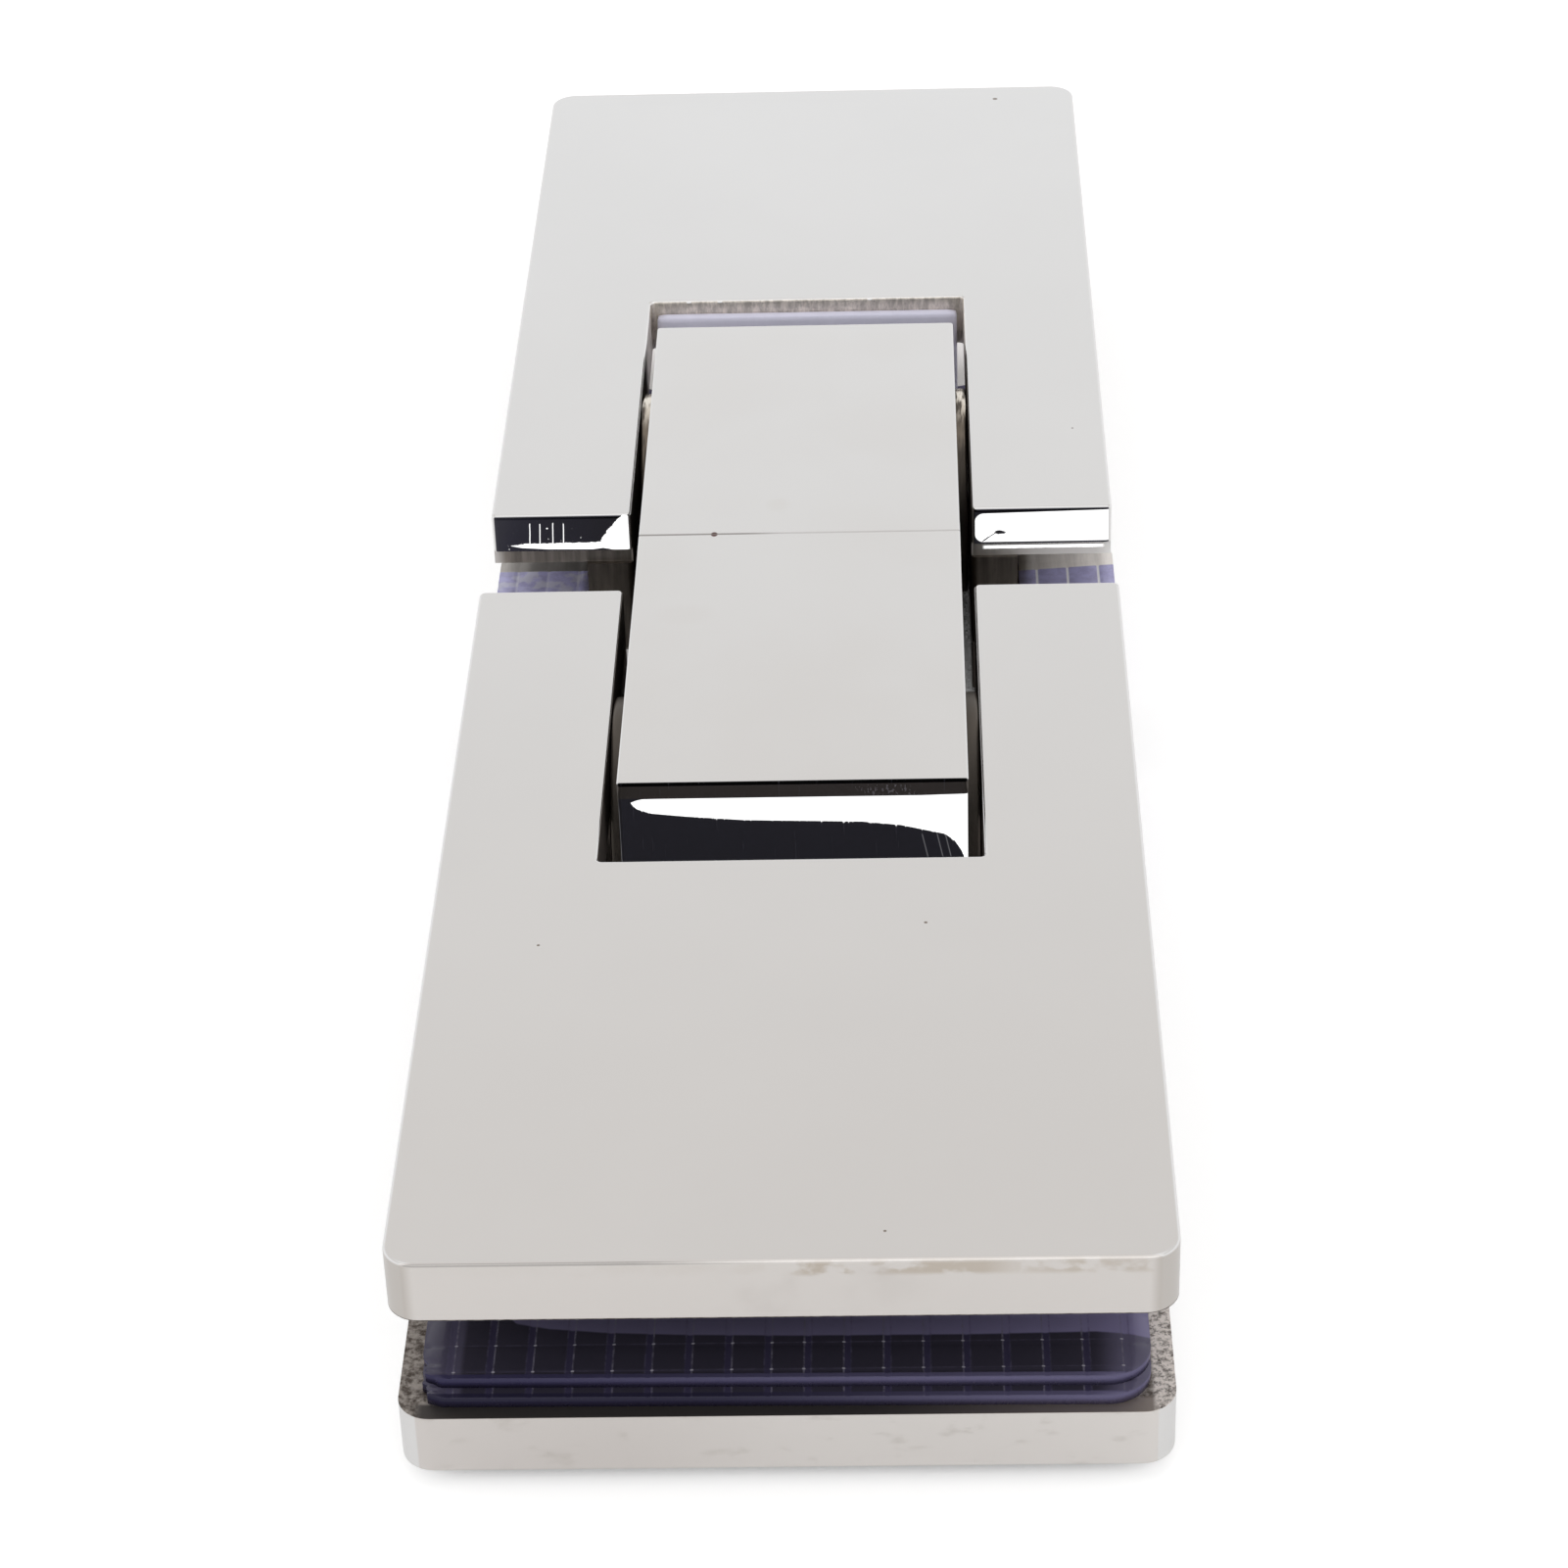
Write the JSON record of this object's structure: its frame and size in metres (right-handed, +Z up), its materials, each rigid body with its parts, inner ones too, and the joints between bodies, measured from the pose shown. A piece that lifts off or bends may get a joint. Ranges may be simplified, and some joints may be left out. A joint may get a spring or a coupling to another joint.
{
  "type": "glass hinge clamp",
  "caption": "Straight glass-to-glass hinge clamp: two notched clamp leaves that swing on the ends of a long centre block.",
  "frame": {"origin": "middle of the underside of the centre block, on the surface the hinge lies on", "axes": "+X along the pivot axes, +Y along the hinge towards the panel leaf, +Z up through the front plates"},
  "size_m": [0.055, 0.193, 0.0222],
  "materials": {
    "polished_steel": "mirror polished stainless steel",
    "cast_steel": "cast stainless steel, polished outside and coarse inside",
    "block_steel": "mirror polished stainless steel",
    "clear_vinyl": "clear soft vinyl with a violet tint and an embossed grid",
    "lilac_vinyl": "soft lilac vinyl",
    "pale_nylon": "pale nylon",
    "screw_steel": "turned stainless steel",
    "ground_steel": "ground steel",
    "spring_steel": "drawn spring wire",
    "bush_bronze": "bearing bronze"
  },
  "bodies": {
    "block": {"door_half_block": "block_steel", "door_left_bush": "bush_bronze", "door_right_bush": "bush_bronze", "door_plunger": "ground_steel", "panel_half_block": "block_steel", "panel_left_bush": "bush_bronze", "panel_right_bush": "bush_bronze", "panel_plunger": "ground_steel", "plunger_spring": "spring_steel", "tie_plate": "cast_steel", "tie_screws": "screw_steel", "seam_dowels": "ground_steel"},
    "door_leaf": {"door_front_plate": "polished_steel", "door_back_plate": "cast_steel", "door_lower_gasket": "clear_vinyl", "door_upper_gasket": "clear_vinyl", "door_notch_pad": "lilac_vinyl", "door_clamp_screws": "screw_steel", "door_screw_sleeves": "pale_nylon", "door_pivot_pin": "ground_steel", "door_pin_grubs": "screw_steel"},
    "panel_leaf": {"panel_front_plate": "polished_steel", "panel_back_plate": "cast_steel", "panel_lower_gasket": "clear_vinyl", "panel_upper_gasket": "clear_vinyl", "panel_notch_pad": "lilac_vinyl", "panel_clamp_screws": "screw_steel", "panel_screw_sleeves": "pale_nylon", "panel_pivot_pin": "ground_steel", "panel_pin_grubs": "screw_steel"}
  },
  "joints": [
    {"name": "door_swing", "type": "hinge", "parent": "block", "child": "door_leaf", "pos_m": [0, -0.0266, 0.0111], "axis": [1, 0, 0], "range_deg": [-90, 90]},
    {"name": "panel_swing", "type": "hinge", "parent": "block", "child": "panel_leaf", "pos_m": [0, 0.0266, 0.0111], "axis": [1, 0, 0], "range_deg": [-90, 90]}
  ]
}
